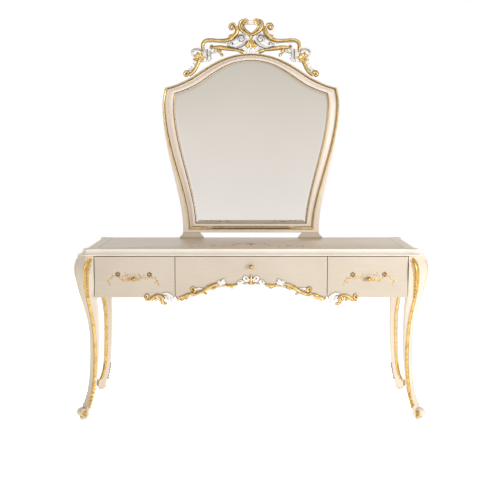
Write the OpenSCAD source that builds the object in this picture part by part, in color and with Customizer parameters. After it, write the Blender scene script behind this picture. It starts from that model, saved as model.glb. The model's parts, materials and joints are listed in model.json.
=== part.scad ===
/* [Table] */
// Height of the top surface above the floor
table_h = 780; // [740:5:800]
// Thickness of the moulded top
top_t = 28; // [24:1:34]
// Half length of the top along its straight front edge
top_half_x = 738; // [736:1:742]
// Half depth of the top along its straight front edge
top_half_y = 237; // [235:1:240]
// How far the top edge moulding flares outward
flare = 25; // [18:1:27]
// How far each corner of the top sweeps forward over its leg
corner_sweep = 13; // [8:1:14]

/* [Apron] */
// Underside of the side drawer fronts
apron_z = 563; // [555:1:572]
// Rise of the arch in the middle drawer front
arch_rise = 60; // [40:1:64]
// Height of the gap between the fronts and the top
reveal = 4; // [3:1:7]

/* [Drawers] */
// Distance of each drawer division from the middle
division_x = 340; // [320:5:360]
// Thickness of the drawer fronts
front_t = 22; // [18:1:22]
// Front face of the drawer fronts, measured back from the middle
front_y = -256; // [-258:1:-252]
// Length of the drawer boxes
box_len = 420; // [400:10:430]
// Thickness of the drawer box sides and backs
box_t = 12; // [10:1:14]
// Length of each drawer slide
slide_len = 380; // [350:10:390]

/* [Legs] */
// Offset that carries each leg's diagonal away from the middle
diag = 520; // [518:1:522]
// Radius of the scroll at each foot
roll_r = 20; // [18:1:22]
// Width of the scroll at each foot
roll_w = 36; // [30:1:40]

/* [Mirror] */
// Front of the mirror frame
mirror_y = 207; // [205:1:209]
// Thickness of the mirror frame
frame_t = 30; // [28:1:32]
// Thickness of the openwork crest
crest_t = 20; // [14:1:24]

/* [Knobs] */
// Diameter of the drawer knobs
knob_d = 21; // [18:1:24]
// How far the knobs stand out from the drawer fronts
knob_out = 24; // [20:1:28]

/* [Hidden] */
$fn = 48;

top_z = table_h - top_t;             // underside of the top, head of the legs
board_t = 18;                        // end panels, back and partitions
front_top = top_z - reveal;          // upper edge of the drawer fronts
front_back_y = front_y + front_t;    // back of the drawer fronts
carcase_y = front_back_y + 4;        // front edges of the boards behind them
leg_in = 702;                        // inner face of the leg heads along X
leg_in_y = leg_in - diag;            // inner face of the leg heads along Y
panel_x = 738;                       // inner face of the end panels
back_y = 220;                        // inner face of the back panel
under_z = top_z - board_t;           // underside of the stretchers
stretcher_w = 60;                    // width of the stretchers
leg_gap = 2.2;                       // gap between a front and a leg
front_gap = 1.2;                     // half of the gap between two fronts
slide_t = 12.7;                      // thickness of a closed slide, and its space beside a drawer
slide_y = front_back_y + 10;         // front end of the slides
box_top = under_z - 8;               // upper edge of the drawer boxes
side_box_z = apron_z + 18;           // underside of the side drawer boxes
mid_box_z = apron_z + arch_rise + 18;  // underside of the middle drawer box
mirror_back = mirror_y + frame_t;    // back of the mirror frame
side_knob = [524, 649];              // side knobs, from the middle and up
mid_knob_z = 704;                    // middle knob
pad_at = [765, 245];                 // middle of each foot pad
roll_at = [768, 248, 32];            // middle of each foot scroll
gold = "goldenrod";
cream = "antiquewhite";
white = "whitesmoke";
ply = "burlywood";
steel = "silver";

// ---- curves ----
function at(p, i) = p[max(0, min(len(p) - 1, i))];
function between(a, b, c, d, t) = 0.5 * (2 * b + (c - a) * t
    + (2 * a - 5 * b + 4 * c - d) * t * t + (3 * b - a - 3 * c + d) * t * t * t);
function smooth(p, n) = concat([for (i = [0:len(p) - 2]) for (k = [0:n - 1])
    between(at(p, i - 1), p[i], p[i + 1], at(p, i + 2), k / n)], [p[len(p) - 1]]);
function bezier(a, b, c, d, n) = [for (k = [0:n - 1]) let (t = k / n, u = 1 - t)
    u * u * u * a + 3 * u * u * t * b + 3 * u * t * t * c + t * t * t * d];
function ease(t) = let (u = max(0, min(1, t))) u * u * (3 - 2 * u);
function flipped(p) = [for (i = [len(p) - 1:-1:0]) [-p[i][0], p[i][1]]];
function unit(v) = v / norm(v);
function left_of(v) = [-v[1], v[0]];
// Each corner of a closed outline moved outward by d (outlines run anticlockwise)
function grown(p, d) = [for (i = [0:len(p) - 1])
    let (n = len(p), u = unit(p[i] - p[(i + n - 1) % n]), v = unit(p[(i + 1) % n] - p[i]),
        m = unit(left_of(u) + left_of(v))) p[i] - m * d / (m * left_of(u))];
// Value at height z of a smooth curve through rows of [z, value]
function row(p, z, i = 0) = i >= len(p) - 2 || z < p[i + 1][0] ? i : row(p, z, i + 1);
function value(p, z) = let (i = row(p, z), t = (z - p[i][0]) / (p[i + 1][0] - p[i][0]))
    between(at(p, i - 1), p[i], p[i + 1], at(p, i + 2), t)[1];

// ---- general shapes ----
module block(a, b) translate(a) cube(b - a);
module rod(d, a, l, turn) translate(a) rotate(turn) cylinder(d = d, h = l);
module upright(y0, y1) translate([0, y1, 0]) rotate([90, 0, 0]) linear_extrude(y1 - y0) children();
module both_sides() {
    children();
    mirror([1, 0, 0]) children();
}
module lofted(rings) {
    n = len(rings[0]);
    last = len(rings) - 1;
    polyhedron(points = [for (r = rings) each r],
        faces = concat([[for (i = [0:n - 1]) i]],
            [for (k = [0:last - 1]) for (i = [0:n - 1]) let (j = (i + 1) % n)
                [k * n + i, (k + 1) * n + i, (k + 1) * n + j, k * n + j]],
            [[for (i = [n - 1:-1:0]) last * n + i]]), convexity = 8);
}
// A scroll of carving: rows of [x, z, half width] with round ends
function heading(c, i) = unit([at(c, i + 1)[0] - at(c, i - 1)[0], at(c, i + 1)[1] - at(c, i - 1)[1]]);
function edge(c, s) = [for (i = [0:len(c) - 1])
    [c[i][0], c[i][1]] + s * c[i][2] * left_of(heading(c, i))];
module scroll(p, n = 2) {
    c = smooth(p, n);
    back = edge(c, -1);
    polygon(concat(edge(c, 1), [for (i = [len(back) - 1:-1:0]) back[i]]));
    for (e = [p[0], p[len(p) - 1]])
        translate([e[0], e[1]]) circle(e[2], $fn = 12);
}
// Carving: scrolls joined into one outline with its corners eased
module carved() offset(r = 0.8, $fn = 12) offset(delta = -0.8) children();

// ---- tabletop ----
// Front and side runs of the plan: [x, y, outward x, outward y] in one quarter
sweep_len = 60;               // run over which an edge sweeps out to a corner
sweep_n = 8;                  // steps along it
side_sweep = corner_sweep + 1;
plan_front = [for (k = [0:sweep_n]) let (t = k / sweep_n)
    [top_half_x - 2 - sweep_len * (1 - t), top_half_y + corner_sweep * ease(t), 0, 1]];
plan_side = [for (k = [0:sweep_n]) let (t = k / sweep_n)
    [top_half_x + side_sweep * (1 - ease(t)), top_half_y - 3 - sweep_len * t, 1, 0]];
quarter = concat(plan_front, plan_side);
function turned(q, sx, sy) = [for (p = q) [p[0] * sx, p[1] * sy, p[2] * sx, p[3] * sy]];
function backward(q) = [for (i = [len(q) - 1:-1:0]) q[i]];
plan = concat(quarter, backward(turned(quarter, 1, -1)), turned(quarter, -1, -1),
    backward(turned(quarter, -1, 1)));
// Edge moulding from the underside up: [height above the underside, outset]
lip_h = 5;
hollow_h = 18;
edge_profile = concat([[0, flare - 1], [1, flare], [lip_h - 1, flare], [lip_h, flare - 3]],
    [for (k = [1:6]) let (a = 90 - 15 * k)
        [lip_h + hollow_h * (1 - sin(a)), (flare - 3) * (1 - cos(a))]],
    [[top_t - 1, 0], [top_t, -1]]);
screw_x = [-600, -200, 200, 600];
screw_y = 195;
foot_bolt_x = [270, 320];
foot_bolt_y = 212;
module tabletop() color(cream) difference() {
    lofted([for (e = edge_profile) [for (p = plan)
        [p[0] + p[2] * e[1], p[1] + p[3] * e[1], top_z + e[0]]]]);
    for (x = screw_x, y = [-screw_y, screw_y])
        rod(4.5, [x, y, top_z - 1], 23, [0, 0, 0]);
    for (x = foot_bolt_x, s = [-1, 1])
        rod(6, [s * x, foot_bolt_y, top_z - 1], top_t + 2, [0, 0, 0]);
}

// ---- legs ----
// Middle of the canted face measured along Y, width of the cant, and inner corner along X
spine = [[12, 244], [40, 242], [62, 237], [85, 229], [120, 220], [165, 213], [220, 209],
    [300, 206.5], [380, 208], [440, 213], [500, 223], [560, 235], [620, 245], [670, 250],
    [710, 248], [752, 237]];
cant = [[12, 30], [40, 28], [85, 20], [200, 19], [300, 19], [390, 16], [500, 22], [600, 31],
    [690, 42], [752, 43]];
inner = [[12, 742], [40, 738], [85, 724], [165, 709], [220, 704], [300, 698], [390, 696],
    [500, 698], [560, 702], [600, 702], [752, 702]];
function out_y(z) = value(spine, z) + value(cant, z) / 2;
function out_x(z) = diag + out_y(z);
function arris_y(z) = value(spine, z) - value(cant, z) / 2;
function arris_x(z) = diag + arris_y(z);
function leg_ring(z) = let (i = value(inner, z))
    [[i, i - diag, z], [out_x(z), i - diag, z], [out_x(z), arris_y(z), z],
        [arris_x(z), out_y(z), z], [i, out_y(z), z]];
leg_top = top_z - 4;          // level where the carving on a leg ends
leg_levels = concat([12, 25], [for (z = [40:26:560]) z], [590, 620, 650, 680, 710, 735, leg_top, top_z]);
bolt_z = [612, 700];
bolt_x = 720;
bolt_len = 100;
block_len = 60;
module in_corner(sx, sy) mirror([sx < 0 ? 1 : 0, 0, 0]) mirror([0, sy < 0 ? 1 : 0, 0]) children();
module leg_bolt(z, d) rod(d, [bolt_x, leg_in_y - block_len, z], bolt_len, [-90, 0, 0]);
module leg() color(cream) difference() {
    union() {
        lofted([for (z = leg_levels) leg_ring(z)]);
        translate(roll_at) rotate([0, 90, -45]) cylinder(r = roll_r, h = roll_w, center = true);
        rod(34, [pad_at[0], pad_at[1], 3], 11, [0, 0, 0]);
    }
    for (z = bolt_z)
        leg_bolt(z, 8);
}
module leg_front_left() in_corner(-1, -1) leg();
module leg_front_right() in_corner(1, -1) leg();
module leg_rear_left() in_corner(-1, 1) leg();
module leg_rear_right() in_corner(1, 1) leg();

// Gilded leaf on the knee, running down as a band to the foot: [z, width] and [z, thickness]
leaf_w = [[62, 16], [120, 15], [300, 14], [480, 15], [580, 19], [640, 28], [710, 34], [735, 31],
    [leg_top, 20]];
leaf_t = [[62, 2.5], [560, 2.5], [620, 4], [690, 6], [735, 5], [leg_top, 3]];
leaf_levels = [for (z = leg_levels) if (z > 62 && z <= leg_top) z];
disc_t = 3;
function leaf_ring(z) = let (x = arris_x(z), y = out_y(z), w = value(leaf_w, z), t = value(leaf_t, z))
    [[x, y, z], [x, y + t, z], [x - w * 0.8, y + t, z], [x - w, y, z]];
module leg_carving() color(gold) for (side = [0, 1]) {
    translate([side * diag, 0, 0]) mirror([side, -side, 0]) translate([-side * diag, 0, 0]) {
        lofted([for (z = leaf_levels) leaf_ring(z)]);
        difference() {
            translate(roll_at) rotate([0, 90, -45]) translate([0, 0, -roll_w / 2 - disc_t])
                cylinder(r = roll_r - 1, h = disc_t);
            lofted([for (z = leg_levels) if (z < 100) leg_ring(z)]);
        }
    }
}
module leg_carving_front_left() in_corner(-1, -1) leg_carving();
module leg_carving_front_right() in_corner(1, -1) leg_carving();
module leg_carving_rear_left() in_corner(-1, 1) leg_carving();
module leg_carving_rear_right() in_corner(1, 1) leg_carving();
module foot_glides() color("white") for (sx = [-1, 1], sy = [-1, 1])
    rod(28, [sx * pad_at[0], sy * pad_at[1], 0], 3, [0, 0, 0]);

// ---- carcase ----
module end_panel(s) color(cream) mirror([s < 0 ? 1 : 0, 0, 0])
    block([panel_x, -leg_in_y, apron_z + 1], [panel_x + board_t, leg_in_y, top_z]);
module end_panel_left() end_panel(-1);
module end_panel_right() end_panel(1);
module back_panel() color(cream)
    block([-leg_in, back_y, apron_z + 1], [leg_in, back_y + board_t, top_z]);
module partition(s) color(ply)
    block([s * division_x - board_t / 2, carcase_y, apron_z + 1],
        [s * division_x + board_t / 2, back_y, under_z]);
module partition_left() partition(-1);
module partition_right() partition(1);
module bottom_board(x0, x1, z) color(ply) block([x0, carcase_y, z], [x1, back_y, z + 8]);
module bottom_board_left()
    bottom_board(-leg_in, -division_x - board_t / 2, apron_z + 2);
module bottom_board_right()
    bottom_board(division_x + board_t / 2, leg_in, apron_z + 2);
module bottom_board_centre()
    bottom_board(-division_x + board_t / 2, division_x - board_t / 2, apron_z + arch_rise + 4);
module stretcher(y, holes) color(ply) difference() {
    block([-leg_in, y, under_z], [leg_in, y + stretcher_w, top_z]);
    for (x = screw_x)
        rod(4.5, [x, sign(y) * screw_y, under_z - 1], board_t + 2, [0, 0, 0]);
    for (x = holes, s = [-1, 1])
        rod(6, [s * x, foot_bolt_y, under_z - 1], board_t + 2, [0, 0, 0]);
}
module front_stretcher() stretcher(carcase_y, []);
module rear_stretcher() stretcher(back_y - stretcher_w, foot_bolt_x);
module corner_blocks() color(ply) for (sx = [-1, 1], sy = [-1, 1]) in_corner(sx, sy) difference() {
    block([leg_in, leg_in_y - block_len, apron_z + 7], [panel_x, leg_in_y, top_z - 2]);
    for (z = bolt_z)
        leg_bolt(z, 8);
}
module leg_bolts() color(steel) for (sx = [-1, 1], sy = [-1, 1], z = bolt_z) in_corner(sx, sy) {
    leg_bolt(z, 8);
    rod(13, [bolt_x, leg_in_y - block_len - 5, z], 5, [-90, 0, 0]);
}
module top_screws() color(steel) for (x = screw_x, y = [-screw_y, screw_y]) {
    rod(4.5, [x, y, under_z], 40, [0, 0, 0]);
    rod(9, [x, y, under_z - 2.5], 2.5, [0, 0, 0]);
}

// ---- drawer slides ----
// Channel against x = 0 with its open side to +X: web face, depth, half height
module channel(x0, x1, hh, wall, web_at) {
    block([web_at, slide_y, -hh], [web_at + wall, slide_y + slide_len, hh]);
    for (s = [-1, 1])
        block([x0, slide_y, min(s * hh, s * (hh - wall))],
            [x1, slide_y + slide_len, max(s * hh, s * (hh - wall))]);
}
module slide_cabinet() channel(0, 9, 17.5, 1.2, 0);
module slide_middle() channel(2.2, 10.4, 15.6, 1.2, 2.2);
module slide_drawer() channel(4.6, slide_t, 13.6, 1.2, slide_t - 1.2);
// Both slides of a drawer whose opening runs from x0 to x1
module slide_pair(x0, x1, z) {
    translate([x0, 0, z]) children();
    translate([x1, 0, z]) mirror([1, 0, 0]) children();
}
side_open = [division_x + board_t / 2, leg_in];
mid_open = [-division_x + board_t / 2, division_x - board_t / 2];
side_slide_z = (side_box_z + box_top) / 2;
mid_slide_z = (mid_box_z + box_top) / 2;
module side_slides(s) color(steel) mirror([s < 0 ? 1 : 0, 0, 0])
    slide_pair(side_open[0], side_open[1], side_slide_z) children();
module mid_slides() color(steel) slide_pair(mid_open[0], mid_open[1], mid_slide_z) children();
module slide_cabinet_members() {
    side_slides(-1) slide_cabinet();
    mid_slides() slide_cabinet();
    side_slides(1) slide_cabinet();
}
module slide_middle_left() side_slides(-1) slide_middle();
module slide_middle_centre() mid_slides() slide_middle();
module slide_middle_right() side_slides(1) slide_middle();
module slide_drawer_left() side_slides(-1) slide_drawer();
module slide_drawer_centre() mid_slides() slide_drawer();
module slide_drawer_right() side_slides(1) slide_drawer();

// ---- drawers ----
stud_d = 4;
module knob_hole(x, z) rod(stud_d, [x, front_y - 1, z], front_t + 2, [-90, 0, 0]);
module side_front() color(cream) difference() {
    block([division_x + front_gap, front_y, apron_z], [leg_in - leg_gap, front_back_y, front_top]);
    knob_hole(side_knob[0], side_knob[1]);
}
mid_half = division_x - front_gap;   // half width of the middle front
module mid_front() color(cream) difference() {
    block([-mid_half, front_y, apron_z], [mid_half, front_back_y, front_top]);
    upright(front_y - 1, front_back_y + 1) polygon(concat([[-division_x, apron_z - 1]],
        [for (k = [0:32]) let (x = mid_half * (k / 16 - 1))
            [x, apron_z + arch_rise * pow(max(0, cos(90 * x / mid_half)), 1.3)]],
        [[division_x, apron_z - 1]]));
    knob_hole(0, mid_knob_z);
}
groove_z = 8;                 // height of the bottom's groove in the drawer sides
bottom_t = 5;                 // thickness of the drawer bottoms
bottom_play = 0.2;            // space above a bottom and behind it
board_in = 4;                 // depth of the groove
bottom_end = front_back_y + box_len - box_t - 2;   // back edge of the drawer bottoms
module drawer_sides(x0, x1, z) color(ply) for (s = [0, 1])
    translate([s * (x0 + x1), 0, 0]) mirror([s, 0, 0]) difference() {
        block([x0, front_back_y, z], [x0 + box_t, front_back_y + box_len, box_top]);
        block([x0 + box_t - board_in - 1, front_back_y - 1, z + groove_z],
            [x0 + box_t + 1, bottom_end + bottom_play, z + groove_z + bottom_t + bottom_play]);
    }
module drawer_back(x0, x1, z) color(ply)
    block([x0 + box_t, front_back_y + box_len - box_t, z],
        [x1 - box_t, front_back_y + box_len, box_top - 10]);
module drawer_bottom(x0, x1, z) color(ply)
    block([x0 + box_t - board_in, front_back_y, z + groove_z],
        [x1 - box_t + board_in, bottom_end, z + groove_z + bottom_t]);
side_box = [side_open[0] + slide_t, side_open[1] - slide_t];
mid_box = [mid_open[0] + slide_t, mid_open[1] - slide_t];
module knob(x, z) color("gold") {
    translate([x, front_y, z]) rotate([90, 0, 0]) rotate_extrude()
        polygon(concat([[0, 0], [7.5, 0], [7.5, 2], [4, 4.5], [3.5, 9]],
            [for (a = [-50:20:90]) [knob_d / 2 * cos(a), knob_out - 8 + 8 * sin(a)]]));
    rod(stud_d, [x, front_y - 1, z], front_t - 3, [-90, 0, 0]);
}
module at_left() mirror([1, 0, 0]) children();
module drawer_front_left() at_left() side_front();
module drawer_front_centre() mid_front();
module drawer_front_right() side_front();
module drawer_sides_left() at_left() drawer_sides(side_box[0], side_box[1], side_box_z);
module drawer_sides_centre() drawer_sides(mid_box[0], mid_box[1], mid_box_z);
module drawer_sides_right() drawer_sides(side_box[0], side_box[1], side_box_z);
module drawer_back_left() at_left() drawer_back(side_box[0], side_box[1], side_box_z);
module drawer_back_centre() drawer_back(mid_box[0], mid_box[1], mid_box_z);
module drawer_back_right() drawer_back(side_box[0], side_box[1], side_box_z);
module drawer_bottom_left() at_left() drawer_bottom(side_box[0], side_box[1], side_box_z);
module drawer_bottom_centre() drawer_bottom(mid_box[0], mid_box[1], mid_box_z);
module drawer_bottom_right() drawer_bottom(side_box[0], side_box[1], side_box_z);
module knob_left() knob(-side_knob[0], side_knob[1]);
module knob_centre() knob(0, mid_knob_z);
module knob_right() knob(side_knob[0], side_knob[1]);

// Carved leaves along the lower edges, as scrolls seen from the front
carving_t = 11;
mid_scrolls = [
    [[0, 614, 6], [0, 632, 9], [0, 650, 8], [0, 668, 3]],
    [[12, 662, 4], [26, 662, 5], [40, 650, 6], [52, 634, 7], [40, 624, 5], [28, 628, 4]],
    [[52, 630, 6], [70, 620, 6], [92, 618, 7], [116, 624, 8], [132, 636, 4]],
    [[116, 618, 6], [140, 622, 7], [162, 616, 12], [182, 610, 9]],
    [[170, 600, 6], [196, 604, 6], [222, 608, 6], [246, 596, 7], [262, 606, 6], [252, 616, 4]],
    [[244, 586, 5], [268, 588, 7], [292, 578, 8], [312, 572, 7], [328, 560, 5]],
    [[286, 570, 5], [306, 562, 6], [326, 556, 5], [330, 550, 4]]];
side_scrolls = [
    [[352, 556, 5], [360, 572, 6], [374, 578, 6], [392, 568, 7], [378, 552, 6], [366, 546, 4]],
    [[392, 572, 5], [414, 576, 6], [434, 566, 5], [456, 556, 5], [474, 558, 6], [474, 574, 5]],
    [[398, 566, 6], [408, 552, 8], [396, 542, 8], [386, 536, 6]],
    [[414, 562, 6], [426, 552, 8], [436, 548, 4]]];
module scrolls_of(scrolls) for (s = scrolls) scroll(s);
module carving() upright(front_y - carving_t, front_y) carved() children();
module drawer_carving_left() color(gold) at_left() carving() scrolls_of(side_scrolls);
module drawer_carving_centre() color(gold) carving() both_sides() scrolls_of(mid_scrolls);
module drawer_carving_right() color(gold) carving() scrolls_of(side_scrolls);

// ---- mirror ----
// Right half outlines from the bottom corner up to the crown
outer_half = concat(
    bezier([338, 807], [330, 990], [434, 1190], [434, 1432], 12),
    bezier([434, 1432], [434, 1462], [428, 1492], [421, 1519], 4),
    bezier([421, 1519], [376, 1528], [330, 1548], [289, 1571], 5),
    bezier([289, 1571], [206, 1626], [124, 1684], [0, 1684], 10), [[0, 1684]]);
sight_half = concat(
    bezier([271, 856], [281, 1040], [374, 1240], [376, 1432], 12),
    bezier([376, 1432], [376, 1454], [373, 1472], [369, 1490], 3),
    bezier([369, 1490], [330, 1500], [290, 1516], [256, 1536], 5),
    bezier([256, 1536], [170, 1592], [112, 1647], [0, 1647], 8), [[0, 1647]]);
bead_half = concat(
    bezier([309, 822], [314, 1010], [424, 1200], [430, 1432], 12),
    bezier([430, 1432], [430, 1460], [424, 1488], [417, 1515], 4),
    bezier([417, 1515], [374, 1524], [328, 1544], [287, 1567], 5),
    bezier([287, 1567], [204, 1622], [124, 1680], [0, 1680], 10), [[0, 1680]]);
function whole(half) = let (n = len(half)) concat(half,
    [for (i = [n - 2:-1:0]) [-half[i][0], half[i][1]]]);
outer = whole(outer_half);
sight = whole(sight_half);
bead = whole(bead_half);
rebate = 9;
glass_y = mirror_y + 19;
glass_t = 4;
post_x = [296, 330];
post_top = 1030;
post_t = 15;
post_screw_z = [794, 840, 930, 1010];
module post_screw(z, d, y0, y1) rod(d, [(post_x[0] + post_x[1]) / 2, y1, z], y1 - y0, [90, 0, 0]);
module each_post_screw(d, y0, y1, heights) for (z = heights) both_sides() post_screw(z, d, y0, y1);
frame_screw_z = [for (z = post_screw_z) if (z > 810) z];
module mirror_frame() color(cream) difference() {
    upright(mirror_y, mirror_back) polygon(outer);
    upright(mirror_y - 1, mirror_back + 1) polygon(sight);
    upright(glass_y, mirror_back + 1) polygon(grown(sight, rebate));
    each_post_screw(4, mirror_back - 15, mirror_back + 1, frame_screw_z);
}
bead_w = 6;
bead_t = 4;
module frame_gilding() color(gold) upright(mirror_y - bead_t, mirror_y) difference() {
    polygon(bead);
    polygon(grown(bead, -bead_w));
}
module mirror_glass() color("lightgray")
    upright(glass_y, glass_y + glass_t) polygon(grown(sight, rebate - 1));
module mirror_backing() color(ply)
    upright(glass_y + glass_t, mirror_back) polygon(grown(sight, rebate - 1));
// Turn buttons over the edge of the backing: position and angle of each on the right side
clip_at = [[329, 1130, 0], [363, 1250, 0], [386, 1400, 0], [300, 1524, 60], [165, 1610, 55]];
module backing_clips() color(steel) for (c = clip_at) both_sides()
    translate([c[0], mirror_back + 2.5, c[1]]) rotate([90, 0, 0]) rotate(c[2]) {
        linear_extrude(2.5) {
            square([22, 10], center = true);
            translate([11, 0]) circle(5);
            translate([-11, 0]) circle(5);
        }
        translate([8, 0, -1.5]) cylinder(d = 7, h = 1.5);
    }
// Bracket foot: [x, z] from the outer toe over the neck to the inner toe
foot_z = 807;
module mirror_foot() color(cream) difference() {
    upright(mirror_y, mirror_back) polygon(concat([[355, table_h]],
        bezier([355, 785], [350, 790], [341, 796], [338, foot_z], 5), [[338, foot_z], [252, foot_z]],
        bezier([252, foot_z], [249, 796], [240, 790], [236, 785], 5), [[236, 785], [236, table_h]]));
    for (x = foot_bolt_x)
        rod(6, [x, foot_bolt_y, table_h - 1], 23, [0, 0, 0]);
    post_screw(post_screw_z[0], 4, mirror_back - 15, mirror_back + 1);
}
module mirror_foot_left() at_left() mirror_foot();
module mirror_foot_right() mirror_foot();
module foot_bolts() color(steel) for (x = foot_bolt_x, s = [-1, 1]) {
    rod(6, [s * x, foot_bolt_y, under_z], board_t + top_t + 22, [0, 0, 0]);
    rod(12, [s * x, foot_bolt_y, under_z - 4], 4, [0, 0, 0]);
}
module mirror_posts() color(ply) difference() {
    both_sides() block([post_x[0], mirror_back, table_h + 2], [post_x[1], mirror_back + post_t, post_top]);
    each_post_screw(4, mirror_back - 1, mirror_back + post_t + 1, post_screw_z);
}
module post_screws() color(steel) {
    each_post_screw(4, mirror_back - 15, mirror_back + post_t, post_screw_z);
    each_post_screw(8, mirror_back + post_t, mirror_back + post_t + 2.5, post_screw_z);
}

// ---- crest ----
gold_scrolls = [
    [[314, 1594, 8], [328, 1582, 9], [318, 1566, 8], [298, 1576, 7], [278, 1602, 6],
        [266, 1630, 6], [256, 1655, 8], [246, 1672, 11]],
    [[228, 1700, 6], [233, 1722, 7], [230, 1744, 7], [208, 1754, 6], [172, 1751, 5],
        [130, 1749, 6], [102, 1752, 7], [82, 1762, 7], [70, 1782, 6], [68, 1804, 6],
        [82, 1820, 7], [100, 1820, 6], [108, 1806, 6], [98, 1796, 5]],
    [[28, 1826, 5], [18, 1832, 6], [26, 1844, 6], [44, 1842, 6], [54, 1826, 6],
        [48, 1802, 6], [32, 1786, 6], [14, 1777, 6], [0, 1770, 6]],
    [[0, 1775, 5], [0, 1756, 7], [0, 1736, 13], [0, 1715, 6]],
    [[186, 1722, 6], [170, 1712, 6], [146, 1710, 7], [112, 1707, 7], [76, 1706, 7], [48, 1704, 7],
        [34, 1694, 8], [30, 1686, 8]],
    [[146, 1706, 6], [134, 1690, 7], [144, 1676, 7], [150, 1668, 6]]];
white_scrolls = [
    [[240, 1682, 5], [236, 1698, 4], [258, 1706, 4], [284, 1700, 4], [291, 1684, 4], [276, 1672, 4]],
    [[308, 1600, 5], [294, 1614, 7], [280, 1624, 5]],
    [[112, 1738, 6], [94, 1730, 12], [76, 1728, 13], [56, 1736, 15], [36, 1750, 14],
        [28, 1768, 10], [44, 1780, 7]],
    [[74, 1772, 6], [66, 1756, 10], [56, 1744, 9]],
    [[216, 1640, 9], [212, 1670, 8], [216, 1700, 7]],
    [[192, 1652, 8], [196, 1676, 8], [204, 1700, 8], [216, 1714, 6]],
    [[204, 1706, 7], [184, 1694, 7], [164, 1694, 6], [156, 1704, 5]],
    [[14, 1716, 6], [10, 1700, 9], [0, 1690, 8]],
    [[18, 1838, 6], [0, 1836, 7]]];
crest_y = mirror_y + 3;
module crest_gold_scrolls() color(gold) upright(crest_y, crest_y + crest_t) carved() difference() {
    both_sides() scrolls_of(gold_scrolls);
    polygon(outer);
}
module crest_white_scrolls() color(white) upright(crest_y + 2, crest_y + crest_t - 2) carved()
    difference() {
        both_sides() scrolls_of(white_scrolls);
        both_sides() scrolls_of(gold_scrolls);
        polygon(outer);
    }

tabletop();
leg_front_left();
leg_front_right();
leg_rear_left();
leg_rear_right();
leg_carving_front_left();
leg_carving_front_right();
leg_carving_rear_left();
leg_carving_rear_right();
foot_glides();
end_panel_left();
end_panel_right();
back_panel();
partition_left();
partition_right();
bottom_board_left();
bottom_board_centre();
bottom_board_right();
front_stretcher();
rear_stretcher();
corner_blocks();
leg_bolts();
top_screws();
slide_cabinet_members();
drawer_front_left();
drawer_sides_left();
drawer_back_left();
drawer_bottom_left();
knob_left();
drawer_carving_left();
slide_middle_left();
slide_drawer_left();
drawer_front_centre();
drawer_sides_centre();
drawer_back_centre();
drawer_bottom_centre();
knob_centre();
drawer_carving_centre();
slide_middle_centre();
slide_drawer_centre();
drawer_front_right();
drawer_sides_right();
drawer_back_right();
drawer_bottom_right();
knob_right();
drawer_carving_right();
slide_middle_right();
slide_drawer_right();
mirror_frame();
frame_gilding();
mirror_glass();
mirror_backing();
backing_clips();
mirror_foot_left();
mirror_foot_right();
mirror_posts();
post_screws();
foot_bolts();
crest_gold_scrolls();
crest_white_scrolls();
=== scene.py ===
# %% [markdown]
# # A carved vanity table and its mirror
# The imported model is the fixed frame: its boards, slides and screws stay where they are.
# Everything that shows gets its own finished piece, shaped from a primitive and then given the
# finish of the real material. Shapes are written in millimetres, as on a joiner's drawing, and
# turned to metres once, where a piece is made.

# %% Load the frame
import json
from math import cos, pi, radians, sin

import bpy
from mathutils import Matrix, Vector


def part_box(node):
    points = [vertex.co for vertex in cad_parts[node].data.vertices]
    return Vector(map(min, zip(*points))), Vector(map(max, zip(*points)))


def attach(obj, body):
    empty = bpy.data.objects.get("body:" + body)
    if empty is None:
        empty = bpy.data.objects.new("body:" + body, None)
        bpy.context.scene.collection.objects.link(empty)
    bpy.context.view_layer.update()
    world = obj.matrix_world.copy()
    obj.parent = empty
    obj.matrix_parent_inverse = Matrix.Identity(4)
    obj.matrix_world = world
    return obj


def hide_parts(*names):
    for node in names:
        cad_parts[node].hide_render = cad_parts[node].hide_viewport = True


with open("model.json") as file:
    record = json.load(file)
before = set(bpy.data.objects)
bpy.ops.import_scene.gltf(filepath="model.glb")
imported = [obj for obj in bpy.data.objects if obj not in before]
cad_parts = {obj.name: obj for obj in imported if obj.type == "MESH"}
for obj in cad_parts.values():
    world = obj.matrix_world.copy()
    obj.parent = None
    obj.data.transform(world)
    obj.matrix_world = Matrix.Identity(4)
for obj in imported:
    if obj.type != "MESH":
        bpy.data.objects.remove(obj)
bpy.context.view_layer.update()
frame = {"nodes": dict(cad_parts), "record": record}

MM = 0.001


# %% Measures taken from the frame
def corners(node):
    """Lowest and highest corner of a node, in millimetres."""
    low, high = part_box(node)
    return low / MM, high / MM


top_low, top_high = corners("tabletop")
table_h = top_high.z
under_top = top_low.z
front_low, front_high = corners("drawer_front_right")
front_y = front_low.y
front_back = front_high.y
front_top = front_high.z
apron_z = front_low.z
mid_high = corners("drawer_front_centre")[1]
frame_low, frame_high = corners("mirror_frame")
mirror_y = frame_low.y
mirror_back = frame_high.y
print("top at", round(table_h), "mm, drawer fronts at y", round(front_y), "mm")

# %% [markdown]
# ## Camera, light and floor
# Furniture is best seen from a few metres away with a longish lens, so its verticals stay nearly
# straight. The light is a soft box low on the right, so each knob throws its shadow to the left,
# and a weaker one on the left, in a white room with a darker ceiling. The mirror needs something
# to show, so the wall behind the camera is greyer than the one behind the table, and grows
# lighter towards the floor.


# %% Camera
def aim(thing, target):
    thing.rotation_euler = (Vector(target) - thing.location).to_track_quat("-Z", "Y").to_euler()


lens_mm = 62.5
camera_at = (-0.005, -4.088, 1.256)
pitch_down = 0.115
bpy.ops.object.camera_add(location=camera_at, rotation=(pi / 2 - pitch_down, 0, 0))
camera = bpy.context.object
camera.name = "studio_camera"
camera.data.lens = lens_mm
bpy.context.scene.camera = camera
bpy.context.scene.view_settings.view_transform = "Standard"
print("camera", camera_at)


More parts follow.
